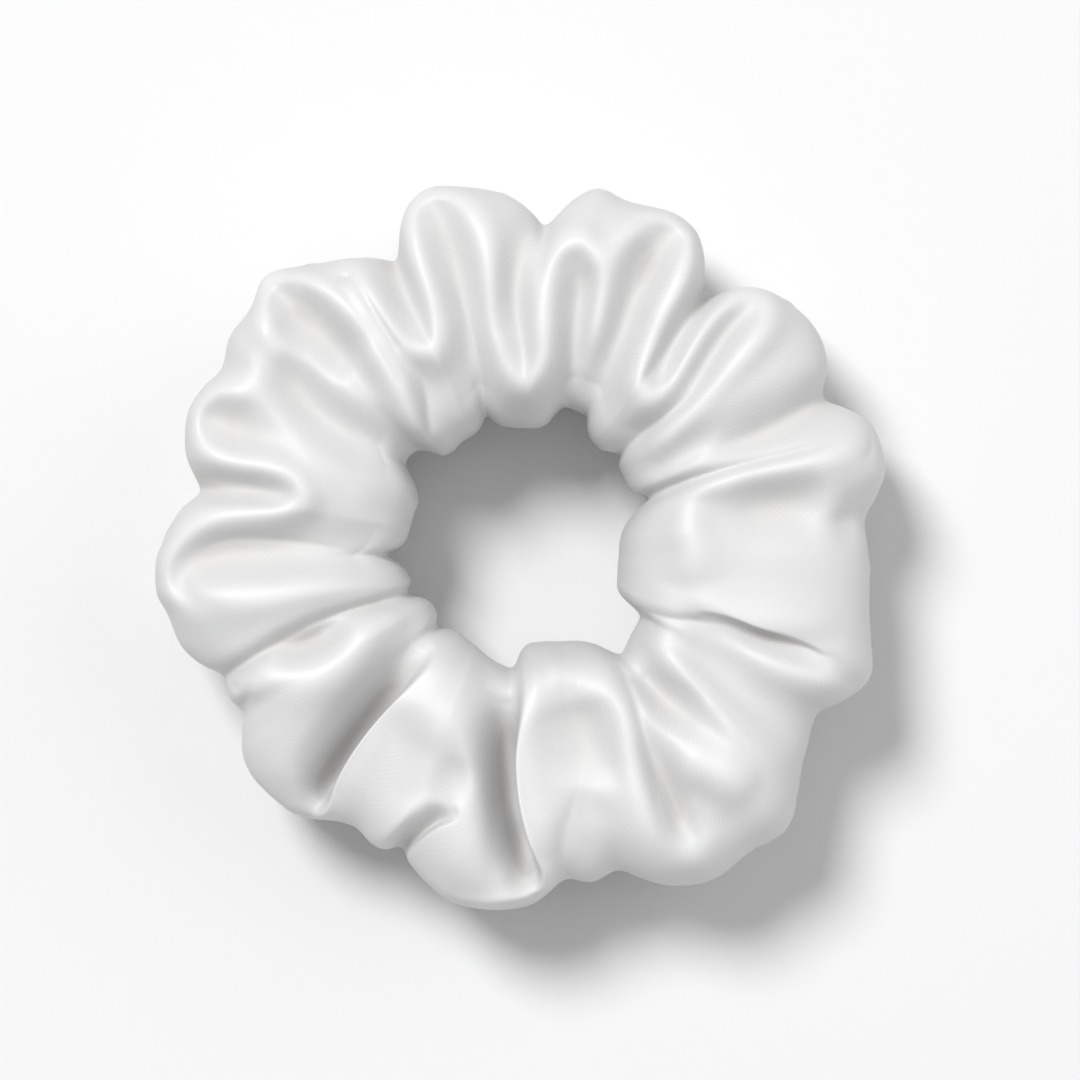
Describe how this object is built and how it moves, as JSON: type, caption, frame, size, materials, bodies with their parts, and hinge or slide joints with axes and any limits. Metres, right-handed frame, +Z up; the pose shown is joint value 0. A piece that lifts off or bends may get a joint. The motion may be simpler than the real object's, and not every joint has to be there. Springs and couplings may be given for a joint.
{
  "type": "scrunchie",
  "caption": "Gathered satin scrunchie: a puffy, ruched fabric tube drawn up round a hidden flat elastic loop and closed by a stitched seam. The ring stretches open evenly.",
  "frame": {"origin": "centre of the hair opening, on the plane the scrunchie rests on", "axes": "+Z up along the axis of the hair opening; the closing seam is at 120 degrees from +X towards +Y"},
  "size_m": [0.113, 0.1118, 0.0312],
  "materials": {
    "satin_white": "white satin weave with a soft sheen",
    "elastic_white": "braided flat elastic, matt off-white",
    "thread_white": "white sewing thread"
  },
  "bodies": {
    "seam_end": {"satin_cover_hemmed_end": "satin_white", "elastic_band_outer_end": "elastic_white", "lengthwise_seam_thread_hemmed_end": "thread_white", "closing_seam_thread": "thread_white", "elastic_join_thread": "thread_white"},
    "gather_01": {"satin_cover_gather_01": "satin_white", "elastic_band_link_01": "elastic_white", "lengthwise_seam_thread_01": "thread_white"},
    "gather_02": {"satin_cover_gather_02": "satin_white", "elastic_band_link_02": "elastic_white", "lengthwise_seam_thread_02": "thread_white"},
    "gather_03": {"satin_cover_gather_03": "satin_white", "elastic_band_link_03": "elastic_white", "lengthwise_seam_thread_03": "thread_white"},
    "gather_04": {"satin_cover_gather_04": "satin_white", "elastic_band_link_04": "elastic_white", "lengthwise_seam_thread_04": "thread_white"},
    "gather_05": {"satin_cover_gather_05": "satin_white", "elastic_band_link_05": "elastic_white", "lengthwise_seam_thread_05": "thread_white"},
    "gather_06": {"satin_cover_gather_06": "satin_white", "elastic_band_link_06": "elastic_white", "lengthwise_seam_thread_06": "thread_white"},
    "gather_07": {"satin_cover_gather_07": "satin_white", "elastic_band_link_07": "elastic_white", "lengthwise_seam_thread_07": "thread_white"},
    "gather_08": {"satin_cover_gather_08": "satin_white", "elastic_band_link_08": "elastic_white", "lengthwise_seam_thread_08": "thread_white"},
    "gather_09": {"satin_cover_gather_09": "satin_white", "elastic_band_link_09": "elastic_white", "lengthwise_seam_thread_09": "thread_white"},
    "gather_10": {"satin_cover_gather_10": "satin_white", "elastic_band_link_10": "elastic_white", "lengthwise_seam_thread_10": "thread_white"},
    "gather_11": {"satin_cover_gather_11": "satin_white", "elastic_band_link_11": "elastic_white", "lengthwise_seam_thread_11": "thread_white"},
    "tucked_end": {"satin_cover_tucked_end": "satin_white", "elastic_band_inner_end": "elastic_white", "lengthwise_seam_thread_tucked_end": "thread_white"}
  },
  "joints": [
    {"name": "stretch", "type": "slide", "parent": "seam_end", "child": "gather_01", "axis": [-0.7071, -0.7071, 0], "range_m": [0, 0.0137], "stiffness_N_per_m": 430},
    {"name": "stretch_02", "type": "slide", "parent": "gather_01", "child": "gather_02", "axis": [-0.2588, -0.9659, 0], "range_m": [0, 0.0137], "stiffness_N_per_m": 430},
    {"name": "stretch_03", "type": "slide", "parent": "gather_02", "child": "gather_03", "axis": [0.2588, -0.9659, 0], "range_m": [0, 0.0137], "stiffness_N_per_m": 430},
    {"name": "stretch_04", "type": "slide", "parent": "gather_03", "child": "gather_04", "axis": [0.7071, -0.7071, 0], "range_m": [0, 0.0137], "stiffness_N_per_m": 430},
    {"name": "stretch_05", "type": "slide", "parent": "gather_04", "child": "gather_05", "axis": [0.9659, -0.2588, 0], "range_m": [0, 0.0137], "stiffness_N_per_m": 430},
    {"name": "stretch_06", "type": "slide", "parent": "gather_05", "child": "gather_06", "axis": [0.9659, 0.2588, 0], "range_m": [0, 0.0137], "stiffness_N_per_m": 430},
    {"name": "stretch_07", "type": "slide", "parent": "gather_06", "child": "gather_07", "axis": [0.7071, 0.7071, 0], "range_m": [0, 0.0137], "stiffness_N_per_m": 430},
    {"name": "stretch_08", "type": "slide", "parent": "gather_07", "child": "gather_08", "axis": [0.2588, 0.9659, 0], "range_m": [0, 0.0137], "stiffness_N_per_m": 430},
    {"name": "stretch_09", "type": "slide", "parent": "gather_08", "child": "gather_09", "axis": [-0.2588, 0.9659, 0], "range_m": [0, 0.0137], "stiffness_N_per_m": 430},
    {"name": "stretch_10", "type": "slide", "parent": "gather_09", "child": "gather_10", "axis": [-0.7071, 0.7071, 0], "range_m": [0, 0.0137], "stiffness_N_per_m": 430},
    {"name": "stretch_11", "type": "slide", "parent": "gather_10", "child": "gather_11", "axis": [-0.9659, 0.2588, 0], "range_m": [0, 0.0137], "stiffness_N_per_m": 430},
    {"name": "stretch_12", "type": "slide", "parent": "gather_11", "child": "tucked_end", "axis": [-0.9659, -0.2588, 0], "range_m": [0, 0.0137], "stiffness_N_per_m": 430}
  ],
  "couplings": [
    {"joint": "stretch_02", "follows": "stretch", "ratio": 1},
    {"joint": "stretch_03", "follows": "stretch", "ratio": 1},
    {"joint": "stretch_04", "follows": "stretch", "ratio": 1},
    {"joint": "stretch_05", "follows": "stretch", "ratio": 1},
    {"joint": "stretch_06", "follows": "stretch", "ratio": 1},
    {"joint": "stretch_07", "follows": "stretch", "ratio": 1},
    {"joint": "stretch_08", "follows": "stretch", "ratio": 1},
    {"joint": "stretch_09", "follows": "stretch", "ratio": 1},
    {"joint": "stretch_10", "follows": "stretch", "ratio": 1},
    {"joint": "stretch_11", "follows": "stretch", "ratio": 1},
    {"joint": "stretch_12", "follows": "stretch", "ratio": 1}
  ]
}
